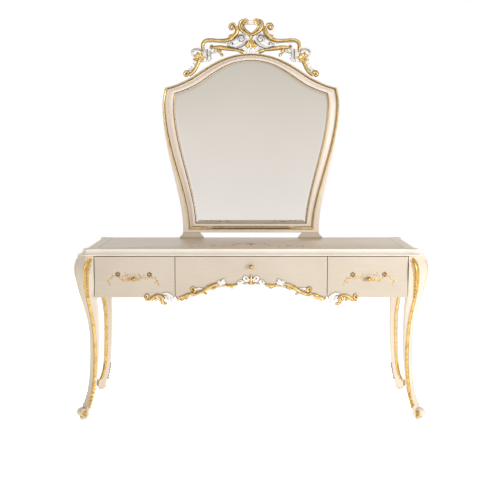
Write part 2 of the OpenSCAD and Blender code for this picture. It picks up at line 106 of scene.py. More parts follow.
# %% Lights and floor
def soft_box(name, at, size, power, colour):
    bpy.ops.object.light_add(type="AREA", location=at)
    light = bpy.context.object
    light.name = name
    light.data.shape = "RECTANGLE"
    light.data.size, light.data.size_y = size
    light.data.energy = power
    light.data.color = colour
    aim(light, (0, 0, 0.8))


soft_box("key_light", (2.2, -2.4, 1.05), (0.8, 0.8), 43, (0.98, 0.99, 1))
soft_box("fill_light", (-3.6, -3.0, 2.0), (2.4, 2.0), 8, (0.97, 0.98, 1))
soft_box("rim_light", (2.6, 2.8, 2.6), (2.0, 1.6), 12, (1, 1, 1))


def clear_selection():
    """Leaves edit mode and drops the selection, so the next operator acts on new things only."""
    if bpy.context.object and bpy.context.object.mode == "EDIT":
        bpy.ops.object.mode_set(mode="OBJECT")
    bpy.ops.object.select_all(action="DESELECT")


clear_selection()
bpy.ops.mesh.primitive_plane_add(size=8, location=(0, 0, 0))
floor = bpy.context.object
floor.name = "studio_floor"

# %% [markdown]
# ## Finishes
# The ivory is a brushed lacquer with a little brown patina rubbed into its corners. The gold is
# leaf over red-brown bole, sealed with a dark glaze that stays in the hollows. The white of the
# carving is the same lacquer without the yellow. An ambient occlusion node finds the hollows, as
# the hand that wipes off a glaze does; it also darkens where parts meet, which is painted shade.
# On carving the low rims are darkened as painted shade.


# %% Material helpers
def linear(hex_colour):
    """An sRGB hex colour as linear light."""
    parts = [int(hex_colour[i:i + 2], 16) / 255 for i in (1, 3, 5)]
    return tuple(c / 12.92 if c <= 0.04045 else ((c + 0.055) / 1.055) ** 2.4 for c in parts) + (1,)


def add(tree, kind, links=None, stops=None, **settings):
    """One node: links by socket, colour stops of a ramp, and its settings by name.
    A name with a capital is a socket, with _ for each space; the others are options."""
    node = tree.nodes.new("ShaderNode" + kind)
    for key, value in settings.items():
        if key[0].isupper():
            node.inputs[key.replace("_", " ")].default_value = value
        else:
            setattr(node, key, value)
    for key, source in (links or {}).items():
        tree.links.new(source, node.inputs[key])
    for place, (position, colour) in enumerate(stops or []):
        if place > 1:
            node.color_ramp.elements.new(position)
        node.color_ramp.elements[place].position = position
        node.color_ramp.elements[place].color = linear(colour)
    return node.outputs[0]


def new_material(name, **shader):
    """A material with one Principled shader, and its object coordinates."""
    material = bpy.data.materials.new(name)
    material.use_nodes = True
    tree = material.node_tree
    body = tree.nodes["Principled BSDF"]
    for key, value in shader.items():
        body.inputs[key.replace("_", " ")].default_value = value
    coordinates = tree.nodes.new("ShaderNodeTexCoord").outputs["Object"]
    return material, tree, body, coordinates


def per_metre(size_mm):
    """Noise scale that makes spots about size_mm wide."""
    return 1 / (size_mm * MM)


def clear_of_glaze_and_shade(tree, place, hollow, openness, proud, rim):
    """How clear a surface is of patina or glaze and of painted shade: 0 where little sky is seen, 1
    where it is open. The darkening in hollows is partly real patina and glaze, partly painted shade
    where parts meet. On carving, proud is (y of the tops, y of the low rims), and the rims are
    cleared only as far as rim, which paints shade on the rims."""
    add(tree, "AmbientOcclusion", samples=8, Distance=hollow * MM, name="sky")
    glaze_and_shade_clear = add(tree, "MapRange", {"Value": tree.nodes["sky"].outputs["AO"]},
                From_Min=openness[0], From_Max=openness[1])
    # Painted shade: the low rims of carving are kept darker than the tops
    if proud:
        add(tree, "SeparateXYZ", {"Vector": place}, name="axes")
        tops = add(tree, "MapRange", {"Value": tree.nodes["axes"].outputs["Y"]},
                   From_Min=proud[0] * MM, From_Max=proud[1] * MM, To_Min=1.0, To_Max=rim)
        glaze_and_shade_clear = add(tree, "Math", {0: glaze_and_shade_clear, 1: tops}, operation="MULTIPLY")
    return glaze_and_shade_clear


print("helpers ready")


# %% Ivory and white lacquer
def lacquer(name, light, dark, patina_and_shade, brushed=(1, 1, 1), roughness=0.36, hollow=8, shaded_above=None,
            proud=None):
    """Brushed lacquer: two close shades in soft clouds, faint brush marks, patina and painted shade
    in corners.
    Above a given height, the face is multiplied a shade darker, which is painted shade."""
    material, tree, body, place = new_material(
        name, Roughness=roughness, IOR=1.5, Coat_Weight=0.2, Coat_Roughness=0.2)
    clouds = add(tree, "TexNoise", {"Vector": place}, Scale=per_metre(260), Detail=2.0)
    tone = add(tree, "ValToRGB", {"Fac": clouds}, [(0.35, dark), (0.65, light)])
    stretched = add(tree, "Mapping", {"Vector": place}, Scale=brushed)
    brush = add(tree, "TexNoise", {"Vector": stretched}, Scale=per_metre(8), Detail=6.0)
    marks = add(tree, "ValToRGB", {"Fac": brush}, [(0.35, "#FBFAF9"), (0.65, "#FFFFFF")])
    coat = add(tree, "MixRGB", {"Color1": tone, "Color2": marks}, blend_type="MULTIPLY", Fac=1.0)
    # Painted shade: the face above the given height is multiplied a shade darker
    if shaded_above:
        add(tree, "SeparateXYZ", {"Vector": place}, name="axes")
        above = add(tree, "MapRange", {"Value": tree.nodes["axes"].outputs["Z"]},
                    From_Min=(shaded_above - 1) * MM, From_Max=(shaded_above - 0.3) * MM)
        coat = add(tree, "MixRGB", {"Fac": above, "Color1": coat}, blend_type="MULTIPLY",
                   Color2=linear("#E6DCD0"))
    glaze_and_shade_clear = clear_of_glaze_and_shade(tree, place, hollow, (0.35, 0.8), proud, 0.2)
    colour = add(tree, "MixRGB", {"Fac": glaze_and_shade_clear, "Color2": coat}, Color1=linear(patina_and_shade))
    tree.links.new(colour, body.inputs["Base Color"])
    bump = add(tree, "Bump", {"Height": brush}, Strength=0.04, Distance=0.2 * MM)
    tree.links.new(bump, body.inputs["Normal"])
    return material


# Brushed along the boards: the marks are long in one direction and fine across it. The same
# ivory comes in darker and lighter copies as painted light: the fronts get the darkest, as painted
# shade, the legs a lighter one, and the mirror frame a lighter and a little rosier one
along_x = (0.1, 1, 1)
along_z = (1, 1, 0.1)
ivory = lacquer("brushed_ivory_lacquer", "#D4C8B8", "#CDC1B0", "#8E7A60", along_x)
ivory_upright = lacquer("brushed_ivory_lacquer_upright", "#EADFCF", "#E0D4C3", "#98846A", along_z)
ivory_frame = lacquer("rose_ivory_lacquer", "#F2E6D9", "#EADCCD", "#9A8468", along_z)
# The top is the lightest copy: its moulded edge reads bright as painted light, and its upper face
# is darkened as painted shade
ivory_top = lacquer("polished_ivory_lacquer", "#FDF7EE", "#F8EFE2", "#B8A488", along_x, 0.42, 5,
                    shaded_above=table_h)
white = lacquer("white_lacquer", "#FBFAF7", "#F6F4EF", "#77736A", hollow=6)
# The white carving has grey painted shade on its rims, which parts it from a white wall
crest_white_coat = lacquer("crest_white_lacquer", "#FFFFFF", "#FBFAF8", "#8A857A", hollow=4,
                           proud=(mirror_y + 4.2, mirror_y + 6))
# The white carving on the fronts has the same grey painted shade on its rims
apron_white_coat = lacquer("apron_white_lacquer", "#FBFAF7", "#F6F4EF", "#77736A", hollow=6,
                           proud=(front_y - 4.8, front_y - 3))


# Raw umber, matt, drawn into the cuts as painted shade
cut_shade_brown = lacquer("umber_cut_shade", "#8E887C", "#7E786C", "#5E594E")


# %% Gold leaf
def gilding(name, bright, deep, glaze_and_shade, proud=None, open_at=0.92):
    """Leaf over bole: metal in two depths of gold, with glaze left in hollows, painted shade where
    parts meet and on carving rims, and small spots.
    """
    material, tree, body, place = new_material(name, Metallic=0.65)
    patches = add(tree, "TexNoise", {"Vector": place}, Scale=per_metre(14), Detail=4.0)
    leaf = add(tree, "ValToRGB", {"Fac": patches}, [(0.35, deep), (0.62, bright)])
    grit = add(tree, "TexNoise", {"Vector": place}, Scale=per_metre(3), Detail=8.0)
    spots = add(tree, "ValToRGB", {"Fac": grit}, [(0.3, "#B89A64"), (0.44, "#FFFFFF")])
    worn = add(tree, "MixRGB", {"Color1": leaf, "Color2": spots}, blend_type="MULTIPLY", Fac=0.6)
    # Glaze left in hollows, with painted shade where parts meet and on carving rims
    glaze_and_shade_clear = clear_of_glaze_and_shade(tree, place, 9, (open_at - 0.5, open_at), proud, 0.25)
    colour = add(tree, "MixRGB", {"Fac": glaze_and_shade_clear, "Color2": worn}, Color1=linear(glaze_and_shade))
    tree.links.new(colour, body.inputs["Base Color"])
    shine = add(tree, "MapRange", {"Value": glaze_and_shade_clear}, To_Min=0.6, To_Max=0.32)
    tree.links.new(shine, body.inputs["Roughness"])
    bump = add(tree, "Bump", {"Height": grit}, Strength=0.25, Distance=0.3 * MM)
    tree.links.new(bump, body.inputs["Normal"])
    return material


gold = gilding("antiqued_gold_leaf", "#ECCB84", "#D2A452", "#6A4614", open_at=1.0)
# On the carving the rims take the glaze colour as painted shade, and the tops a lighter leaf as
# painted highlight, which draws a brown edge round every scroll
crest_leaf = gilding("crest_gold_leaf", "#F4DA9C", "#DDB262", "#7A5018",
                     (mirror_y + 0.5, mirror_y + 4.2))
apron_leaf = gilding("apron_gold_leaf", "#F4DA9C", "#DDB262", "#7A5018",
                     (front_y - 6, front_y - 2.5))
# Paler leaf for the bead, as painted highlight: it reads as a bright line beside the dark one
pale_gold = gilding("pale_gold_leaf", "#F0DDB0", "#DEC283", "#94743A")
garland_gold = gilding("gold_paint", "#D6B27A", "#C0985A", "#8A6530")
# Bronze powder paint: browner and duller than leaf
line_bronze = gilding("bronze_line", "#A07C40", "#8A6830", "#4A3210")
garland_bronze = gilding("bronze_paint", "#96702F", "#7A5622", "#4A300E")
print("lacquer and gold mixed")


# %% Brass, glass, wood, board, zinc and nylon
def clouded(name, spot_mm, detail, dark, light, gloss=None, **shader):
    """One shade drifting into another in soft spots, and the gloss drifting with it."""
    material, tree, body, place = new_material(name, **shader)
    drift = add(tree, "TexNoise", {"Vector": place}, Scale=per_metre(spot_mm), Detail=detail)
    colour = add(tree, "ValToRGB", {"Fac": drift}, [(0.3, dark), (0.7, light)])
    tree.links.new(colour, body.inputs["Base Color"])
    if gloss:
        shine = add(tree, "MapRange", {"Value": drift}, To_Min=gloss[0], To_Max=gloss[1])
        tree.links.new(shine, body.inputs["Roughness"])
    return material


def sawn_wood(name, light, dark, grain, roughness):
    """Sanded wood or board: long fine grain across a slower change of shade."""
    material, tree, body, place = new_material(name, Roughness=roughness, IOR=1.5)
    stretched = add(tree, "Mapping", {"Vector": place}, Scale=grain)
    fibres = add(tree, "TexNoise", {"Vector": stretched}, Scale=per_metre(5), Detail=8.0,
                 Distortion=0.4)
    colour = add(tree, "ValToRGB", {"Fac": fibres}, [(0.3, dark), (0.7, light)])
    tree.links.new(colour, body.inputs["Base Color"])
    bump = add(tree, "Bump", {"Height": fibres}, Strength=0.2, Distance=0.2 * MM)
    tree.links.new(bump, body.inputs["Normal"])
    return material


finishes = {
    # Turned and polished brass, no lacquer, a little tarnished
    "polished_brass": clouded("polished_brass", 7, 3.0, "#B8924A", "#D3B068", Metallic=1.0,
                              Roughness=0.18),
    # Silvered float glass: a near perfect mirror, a little grey, with a breath of haze
    "silvered_glass": clouded("silvered_glass", 400, 2.0, "#E9E6E2", "#EEEBE8", (0.01, 0.03),
                              Metallic=1.0),
    "beech": sawn_wood("sanded_beech", "#D9B78A", "#BF9868", (1, 0.06, 1), 0.6),
    "fibreboard": sawn_wood("hardboard", "#8C7150", "#735A3D", (0.8, 1, 0.8), 0.7),
    # Zinc-plated steel: bright and slightly clouded
    "zinc_steel": clouded("zinc_plated_steel", 20, 4.0, "#A9ABAD", "#C9CBCC", (0.28, 0.45),
                          Metallic=1.0),
    # Moulded nylon for the glides: milky, with a matt skin
    "nylon_glide": clouded("moulded_nylon", 2, 2.0, "#E2DDD2", "#ECE8DF", Roughness=0.5,
                           IOR=1.53),
    "cream_lacquer": ivory,
    "gold_leaf": gold,
    "white_lacquer": white,
}
for part in frame["record"]["subparts"]:
    node = frame["nodes"][part["node"]]
    node.data.materials.clear()
    node.data.materials.append(finishes[part["material_slot"]])
print("finishes on", len(frame["nodes"]), "nodes")


# %% Room and floor finish
def room():
    """White in front of the camera; behind it greige above and paler below, for the mirror;
    grey side walls and ceiling, which give the carving its dark edges."""
    world = bpy.data.worlds.new("studio_room")
    bpy.context.scene.world = world
    world.use_nodes = True
    tree = world.node_tree
    way = tree.nodes.new("ShaderNodeTexCoord").outputs["Generated"]
    add(tree, "SeparateXYZ", {"Vector": way}, name="axes")
    axes = tree.nodes["axes"]
    height = add(tree, "MapRange", {"Value": axes.outputs["Z"]}, From_Min=-0.1, From_Max=0.1)
    wall = add(tree, "ValToRGB", {"Fac": height},
               [(0.0, "#FAF8F6"), (0.5, "#F1ECE6"), (1.0, "#DAD5CA")])
    ahead = add(tree, "MapRange", {"Value": axes.outputs["Y"]}, From_Min=0.4, From_Max=0.85)
    behind = add(tree, "MapRange", {"Value": axes.outputs["Y"]}, From_Min=-0.5, From_Max=-0.85)
    sides = add(tree, "MixRGB", {"Fac": ahead}, Color1=linear("#BDB9B3"), Color2=(1, 1, 1, 1))
    walls = add(tree, "MixRGB", {"Fac": behind, "Color1": sides, "Color2": wall})
    overhead = add(tree, "MapRange", {"Value": axes.outputs["Z"]}, From_Min=0.3, From_Max=0.7)
    colour = add(tree, "MixRGB", {"Fac": overhead, "Color1": walls}, Color2=linear("#BDBAB6"))
    tree.links.new(colour, tree.nodes["Background"].inputs["Color"])


room()
gloss_floor, floor_tree, floor_body, floor_place = new_material(
    "white_studio_floor", Roughness=0.12, IOR=1.3, Emission_Strength=0.6)
sheen = add(floor_tree, "TexNoise", {"Vector": floor_place}, Scale=0.5, Detail=1.0)
floor_tone = add(floor_tree, "ValToRGB", {"Fac": sheen}, [(0.3, "#F7F7F7"), (0.7, "#FBFBFB")])
floor_tree.links.new(floor_tone, floor_body.inputs["Base Color"])
floor_tree.links.new(floor_tone, floor_body.inputs["Emission Color"])
floor.data.materials.append(gloss_floor)
print("room and floor ready")

# %% [markdown]
# ## Tools for shaping
# Three kinds of making cover the whole piece. A **skin** is a grid rolled round a row of
# sections, for legs and mouldings. A **board** is an outline pushed to a thickness, with its
# edges eased. A **relief** is carving: each scroll is a curve swept with a carved section, which
# is then laid on a surface. Mirrored pieces are copies with their own mesh.


# %% Curves and joining
def between(a, b, c, d, t):
    """Catmull-Rom value between b and c."""
    return 0.5 * (2 * b + (c - a) * t + (2 * a - 5 * b + 4 * c - d) * t * t
                  + (3 * b - a - 3 * c + d) * t ** 3)


def value(table, z):
    """Value at height z of a smooth curve through rows of (z, value)."""
    last = len(table) - 1
    i = max(k for k in range(last) if k == 0 or table[k][0] <= z)
    t = (z - table[i][0]) / (table[i + 1][0] - table[i][0])
    near = [table[max(0, min(last, i + k))][1] for k in (-1, 0, 1, 2)]
    return between(*near, t)


def bezier(a, b, c, d, n):
    """n points of a Bezier curve, without its last."""
    points = []
    for k in range(n):
        t = k / n
        u = 1 - t
        points.append(tuple(u ** 3 * p + 3 * u * u * t * q + 3 * u * t * t * r + t ** 3 * s
                            for p, q, r, s in zip(a, b, c, d)))
    return points


def in_metres(points):
    return [Vector(p) * MM for p in points]


def pick(piece):
    """Makes one piece the selected and active one."""
    clear_selection()
    piece.select_set(True)
    bpy.context.view_layer.objects.active = piece


def edit_all():
    """Edits the active piece, with all of its mesh selected."""
    bpy.ops.object.mode_set(mode="EDIT")
    bpy.ops.mesh.select_all(action="SELECT")


doubles_mm = 0.01              # corners closer than this are one corner


def finish_mesh(piece, angle=35):
    """Joins loose corners, points all faces outwards and smooths the shading of round parts."""
    pick(piece)
    edit_all()
    bpy.ops.mesh.remove_doubles(threshold=doubles_mm * MM)
    bpy.ops.mesh.normals_make_consistent(inside=False)
    bpy.ops.object.mode_set(mode="OBJECT")
    bpy.ops.object.shade_smooth_by_angle(angle=radians(angle))


def ease_edges(piece, width_mm, segments=3, angle=30):
    """Rounds every arris by a bevel, which is then applied."""
    pick(piece)
    bevel = piece.modifiers.new("eased", "BEVEL")
    bevel.width = width_mm * MM
    bevel.segments = segments
    bevel.limit_method = "ANGLE"
    bevel.angle_limit = radians(angle)
    bpy.ops.object.modifier_apply(modifier="eased")
    bpy.ops.object.shade_smooth_by_angle(angle=radians(40))


# %% Skin, board and copies
def skin(name, rings, loop=False):
    """A grid rolled round rings of points; a loop closes on itself, other skins get two caps."""
    around, along = len(rings[0]), len(rings)
    rows = rings + [rings[0]] if loop else rings
    clear_selection()
    bpy.ops.mesh.primitive_grid_add(x_subdivisions=around, y_subdivisions=len(rows) - 1)
    piece = bpy.context.object
    piece.name = name
    seam_closed = [point for ring in rows for point in list(ring) + [ring[0]]]
    for vert, point in zip(piece.data.vertices, in_metres(seam_closed)):
        vert.co = point
    edit_all()
    bpy.ops.mesh.remove_doubles(threshold=doubles_mm * MM)
    if not loop:
        bpy.ops.mesh.fill_holes(sides=0)
    finish_mesh(piece)
    return piece


def board(name, outline, y0, y1, ease_mm=1.5):
    """A board cut to an outline of (x, z) points between two depths, with its edges eased."""
    clear_selection()
    bpy.ops.mesh.primitive_circle_add(vertices=len(outline), fill_type="NGON")
    piece = bpy.context.object
    piece.name = name
    for vert, point in zip(piece.data.vertices, in_metres([(x, y0, z) for x, z in outline])):
        vert.co = point
    edit_all()
    bpy.ops.mesh.extrude_region_move(TRANSFORM_OT_translate={"value": (0, (y1 - y0) * MM, 0)})
    finish_mesh(piece)
    if ease_mm:
        ease_edges(piece, ease_mm)
    return piece


def mirrored(piece, name, sx=1, sy=1):
    """A copy with its own mesh, mirrored across the table's middle planes."""
    copy = piece.copy()
    copy.data = piece.data.copy()
    copy.name = name
    bpy.context.collection.objects.link(copy)
    copy.data.transform(Matrix.Diagonal((sx, sy, 1, 1)))
    finish_mesh(copy)
    return copy


def dressed(piece, material, slot, body, *nodes):
    """Gives a piece its finish, its body and the nodes it stands for."""
    piece.data.materials.clear()
    piece.data.materials.append(material)
    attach(piece, body)
    if nodes:
        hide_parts(*nodes)
    print(piece.name, len(piece.data.polygons), "faces")


print("skin, board and copies ready")


# %% Relief
# Carved section from one side to the other, 1 = half width: a fine bead, a groove and a round
bead_and_round = [(-1, 0), (-0.97, 0.32), (-0.85, 0.5), (-0.7, 0.45), (-0.6, 0.3), (-0.42, 0.62),
                  (-0.1, 0.86), (0.28, 0.9), (0.65, 0.7), (0.9, 0.36), (1, 0)]
plain_round = [(cos(a), 0.8 * sin(a)) for a in (pi * (8 - k) / 8 for k in range(9))]
# A leaf has a cut vein down its middle
veined = [(-1, 0), (-0.9, 0.4), (-0.6, 0.72), (-0.3, 0.66), (0, 0.38), (0.3, 0.66), (0.6, 0.72),
          (0.9, 0.4), (1, 0)]
flat_stroke = [(-1, 0), (-0.7, 0.5), (0, 0.6), (0.7, 0.5), (1, 0)]
at_back = 0.01                 # a point of a section lower than this is on its back


def section_curve(section):
    """The section as a closed curve, for the sweep."""
    bpy.ops.curve.primitive_bezier_circle_add()
    profile = bpy.context.object
    profile.data.dimensions = "2D"
    profile.data.splines.clear()
    spline = profile.data.splines.new("POLY")
    spline.points.add(len(section) - 1)
    spline.use_cyclic_u = True
    for point, (x, y) in zip(spline.points, section):
        point.co = (x, y, 0, 1)
    return profile


def relief(name, strokes, place, section=bead_and_round, fineness=4):
    """Strokes of (a, b, half width), swept with the section and laid on a surface by place,
    which turns (a, b, height) into a point in millimetres."""
    clear_selection()
    profile = section_curve(section)
    bpy.ops.curve.primitive_bezier_curve_add()
    piece = bpy.context.object
    piece.name = name
    curve = piece.data
    curve.dimensions = "2D"
    curve.fill_mode = "NONE"
    curve.splines.clear()
    for stroke in strokes:
        spline = curve.splines.new("BEZIER")
        spline.resolution_u = fineness
        spline.bezier_points.add(len(stroke) - 1)
        for knot, (a, b, half_width) in zip(spline.bezier_points, stroke):
            knot.co = (a, b, 0)
            knot.radius = half_width
            knot.handle_left_type = knot.handle_right_type = "AUTO"
    curve.bevel_mode = "OBJECT"
    curve.bevel_object = profile
    curve.use_fill_caps = True
    pick(piece)
    bpy.ops.object.convert(target="MESH")
    bpy.data.objects.remove(profile)
    piece = bpy.context.object
    # The new curve may stand turned, so its place is wiped before the mesh is laid
    piece.matrix_world = Matrix.Identity(4)
    for vert in piece.data.vertices:
        vert.co = Vector(place(*vert.co)) * MM
    finish_mesh(piece, 50)
    return piece


def curl(a, b, radius, start, turn, width, ball=1.5):
    """A volute round (a, b): from radius inwards, start and turn in degrees, ending in a ball."""
    knots = []
    steps = max(4, round(abs(turn) / 40))
    for k in range(steps + 1):
        t = k / steps
        r = radius * (1 - 0.72 * t)
        angle = radians(start + turn * t)
        knots.append((a + r * cos(angle), b + r * sin(angle), width * (1 - 0.45 * t)))
    eye_a, eye_b, eye_w = knots[-1]
    knots[-1] = (eye_a, eye_b, eye_w * ball)
    knots.append((a, b, eye_w * 0.5))
    return knots


def flipped(strokes):
    """The same strokes on the other side of the middle."""
    return [[(-a, b, w) for a, b, w in stroke] for stroke in strokes]


def both_sides(strokes):
    return strokes + flipped(strokes)


def bolder(strokes, by):
    """The same strokes, wider."""
    return [[(a, b, w * by) for a, b, w in stroke] for stroke in strokes]


print("relief tools ready")

# %% [markdown]
# ## Tabletop
# The top is one moulded slab. Its edge is a thin lip, then a hollow that climbs to a rounded
# arris, and each corner sweeps out over its leg and is cut off at forty-five degrees. Because the
# moulding keeps one section all round, it is a skin: the plan of the top, drawn again at each
# height with its own outset.


# %% Tabletop
half_x, half_y = 738, 237      # middle of the straight edges at the upper surface
sweep, sweep_len, flare = 13, 60, 25
lip_h, hollow_h = 5, 18


def smooth_step(t):
    return t * t * (3 - 2 * t)


def top_plan(outset, z):
    """The top's outline at one height, from one quarter turned round to four."""
    steps = [k / 12 for k in range(13)]
    quarter = [(half_x - 2 - sweep_len * (1 - t), half_y + sweep * smooth_step(t) + outset)
               for t in steps]
    quarter += [(half_x + (sweep + 1) * (1 - smooth_step(t)) + outset, half_y - 3 - sweep_len * t)
                for t in steps]
    back = quarter[::-1]
    return ([(x, y, z) for x, y in quarter] + [(x, -y, z) for x, y in back]
            + [(-x, -y, z) for x, y in quarter] + [(-x, y, z) for x, y in back])


def top_sections():
    """(outset, height) up the edge: lip, quirk, quarter-ellipse hollow, arris."""
    rows = [(flare - 2, 0), (flare - 0.4, 0.4), (flare, 1.6), (flare, lip_h - 1.2),
            (flare - 0.6, lip_h - 0.3), (flare - 3, lip_h)]
    for k in range(1, 13):
        a = pi / 2 * (1 - k / 12)
        rows.append(((flare - 3) * (1 - cos(a)), lip_h + hollow_h * (1 - sin(a))))
    return rows + [(0, table_h - under_top - 1.5), (-0.5, table_h - under_top - 0.5),
                   (-1.6, table_h - under_top)]


top = skin("moulded_top", [top_plan(out, under_top + z) for out, z in top_sections()])
dressed(top, ivory_top, "cream_lacquer", "table", "tabletop")

# %% [markdown]
# A fine dark line of inlay runs 50 mm inside the edge, and a spray of painted leaves lies in the
# middle of the top, in front of the mirror. Both are thin, so they are reliefs pressed nearly
# flat: the height of each stroke is scaled down as it is laid on the top.

# %% Inlay and painted spray on the top


def on_top(a, b, h):
    return a, b, table_h - 0.05 + 0.2 * h


inset = 50
line_x, line_y = half_x - inset, half_y - 40
sides = [[(line_x * s, half_y - 10, 1.6), (line_x * s, -line_y, 1.6)] for s in (-1, 1)]
runs = sides + [[(-line_x, -line_y, 1.3), (line_x, -line_y, 1.3)]]
inlay = relief("top_inlay_line", runs, on_top, flat_stroke, 2)
dressed(inlay, line_bronze, "gold_leaf", "table")


def leaf(a, b, length, angle, width):
    """A small leaf from its stalk end: narrow, wide, pointed."""
    way = (cos(radians(angle)), sin(radians(angle)))
    return [(a + way[0] * length * t, b + way[1] * length * t, width * w)
            for t, w in ((0, 0.35), (0.45, 1), (0.8, 0.7), (1, 0.12))]


def flower(a, b, radius, petals, turn=90):
    """Petals round a dot."""
    strokes = [[(a - radius * 0.12, b, radius * 0.2), (a + radius * 0.12, b, radius * 0.2)]]
    for k in range(petals):
        angle = turn + 360 * k / petals
        way = (cos(radians(angle)), sin(radians(angle)))
        strokes.append([(a + way[0] * radius * t, b + way[1] * radius * t, radius * w)
                        for t, w in ((0.3, 0.1), (0.65, 0.26), (0.9, 0.24), (1.02, 0.06))])
    return strokes


def top_spray():
    """Scrolling stems to each side of a central flower, with leaves along them."""
    stem = [(24, -62, 1.6), (60, -50, 2), (96, -104, 2), (150, -128, 2), (205, -126, 1.8),
            (262, -150, 1.2)]
    strokes = [stem, curl(64, -86, 26, 80, -260, 2)]
    for a, b, angle in ((60, -50, 70), (96, -104, 150), (120, -120, -60), (160, -130, 60),
                        (205, -126, -50), (232, -136, 60), (262, -150, -10)):
        strokes.append(leaf(a, b, 26, angle, 5))
    strokes += flower(178, -112, 14, 5)
    return both_sides(strokes) + flower(0, -42, 22, 6) + [leaf(0, -60, 40, -90, 7)]


spray = relief("top_painted_spray", top_spray(), on_top, flat_stroke)
dressed(spray, line_bronze, "gold_leaf", "table")

# %% [markdown]
# ## Legs
# A cabriole leg is sawn from one thick block: it swells at the knee, thins at the ankle and
# rolls out into a scroll at the foot. Seen from above each section is a square with its outer
# corner cut off, and that cant widens at the knee. The leg is a skin through sections whose
# sizes follow three smooth tables, then its arrises are eased.

# %% Leg
diag = 520                     # a leg's diagonal crosses the X axis this far from the middle
spine = [(12, 244), (40, 242), (62, 237), (85, 229), (120, 220), (165, 213), (220, 209),
         (300, 206.5), (380, 208), (440, 213), (500, 223), (560, 235), (620, 245), (670, 250),
         (710, 248), (752, 237)]
cant = [(12, 30), (40, 28), (85, 20), (200, 19), (300, 19), (390, 16), (500, 22), (600, 31),
        (690, 42), (752, 43)]
inner = [(12, 742), (40, 738), (85, 724), (165, 709), (220, 704), (300, 698), (390, 696),
         (500, 698), (560, 702), (600, 702), (752, 702)]
# How far a flank slopes inwards for each millimetre away from the arris
flank_slope = [(12, 0.2), (300, 0.3), (500, 0.26), (600, 0.12), (752, 0.1)]
roll_at = Vector((768, 248, 32))
roll_w = 36                    # width of the foot's scroll
pad_at = (765, 245)
across = Vector((1, -1, 0)).normalized()   # axis of the foot's scroll
outward = Vector((1, 1, 0)).normalized()


def out_y(z):
    return value(spine, z) + value(cant, z) / 2


def arris_x(z):
    return diag + value(spine, z) - value(cant, z) / 2


def leg_section(z):
    i, out, arris = value(inner, z), out_y(z), value(spine, z) - value(cant, z) / 2
    hollow = 0.06 * value(cant, z)     # the canted face is slightly hollow
    middle = (diag + (out + arris) / 2 - hollow, (out + arris) / 2 - hollow, z)
    back = value(flank_slope, z) * (diag + arris - i)
    return [(i, i - diag, z), (diag + out - back, i - diag, z), (diag + out, arris, z), middle,
            (diag + arris, out, z), (i, out - back, z)]


def round_on(centre, axis, radius, along):
    """A ring of 32 points round an axis."""
    side = axis.cross(Vector((0, 0, 1)))
    return [tuple(centre + axis * along + side * radius * cos(a) + Vector((0, 0, 1)) * radius
                  * sin(a)) for a in (2 * pi * k / 32 for k in range(32))]


def joined(name, pieces):
    clear_selection()
    for piece in pieces:
        piece.select_set(True)
    bpy.context.view_layer.objects.active = pieces[0]
    bpy.ops.object.join()
    pieces[0].name = name
    return pieces[0]


def leg():
    """Shaft, scroll foot and pad, in the corner where X and Y are positive."""
    shaft = skin("shaft", [leg_section(12 + 740 * k / 60) for k in range(61)])
    ease_edges(shaft, 1.6, 2)
    scroll_rows = [(-18, 14), (-18, 17), (-16.6, 19.4), (-14.5, 20), (-11, 19.4), (-9.5, 18.2),
                   (0, 17.4), (9.5, 18.2), (11, 19.4), (14.5, 20), (16.6, 19.4), (18, 17), (18, 14)]
    scroll = skin("scroll", [round_on(roll_at, across, r, d) for d, r in scroll_rows])
    pad_rows = [(3, 14.5), (3.6, 16), (7, 17), (11, 16.4), (14, 13)]
    pad = skin("pad", [[(pad_at[0] + r * cos(a), pad_at[1] + r * sin(a), z)
                        for a in (2 * pi * k / 32 for k in range(32))] for z, r in pad_rows])
    return joined("carved_leg", [shaft, scroll, pad])


corner_signs = {"front_left": (-1, -1), "front_right": (1, -1), "rear_left": (-1, 1),
                "rear_right": (1, 1)}
pattern_leg = leg()
for corner, (sx, sy) in corner_signs.items():
    piece = mirrored(pattern_leg, "cabriole_leg_" + corner, sx, sy)
    dressed(piece, ivory_upright, "cream_lacquer", "table", "leg_" + corner)
bpy.data.objects.remove(pattern_leg)

# %% [markdown]
# The carving on a leg is a leaf over the knee with a volute at its head, and a chain of small
# husks that runs down the arris to the foot. It lies on the flank beside the cant, so each
# stroke is drawn flat, as distance from the arris and height, and then bent on to the flank. The
# other flank is the same carving mirrored across the leg's diagonal.

# %% Leg carving


def on_flank(a, b, h):
    """a: inward from the arris, b: height, h: out of the flank."""
    return arris_x(b) - a, out_y(b) - value(flank_slope, b) * a - 0.6 + 0.72 * h, b


def knee_leaf():
    """Ridge, head volute and lobes that hang towards the drawer, larger near the top."""
    strokes = [[(5, 556, 5), (6, 600, 6.5), (8, 640, 8), (10, 690, 9), (13, 724, 8.5),
                (17, 743, 5)],
               curl(20, 726, 11, 120, -330, 5.2)]
    for k in range(10):
        b = 716 - 15.5 * k
        reach = 31 - 1.9 * k
        strokes.append([(7, b + 5, 3.4), (reach * 0.62, b, 5.6), (reach * 0.95, b - 8, 5),
                        (reach, b - 16, 2)])
    return strokes


def husk_chain():
    """A fillet down the arris with a slanting husk on it every 17 mm, and a rope at the foot."""
    strokes = [[(7.6, 560 - 62 * k, 6.6) for k in range(8)]]
    for k in range(24):
        b = 556 - 17 * k
        strokes.append([(2.6, b, 2.2), (7, b - 7, 4.2), (11.6, b - 15, 1.6)])
    for k in range(6):
        b = 150 - 16 * k
        strokes.append([(0.8, b, 2.6), (6, b - 6, 6.2), (13, b - 14, 6), (17, b - 20, 2.4)])
    return strokes


def on_scroll_end(a, b, h):
    """On the outer end of the foot's scroll."""
    p = roll_at - across * (roll_w / 2 - 0.6 + 0.7 * h) + outward * a + Vector((0, 0, 1)) * b
    return tuple(p)


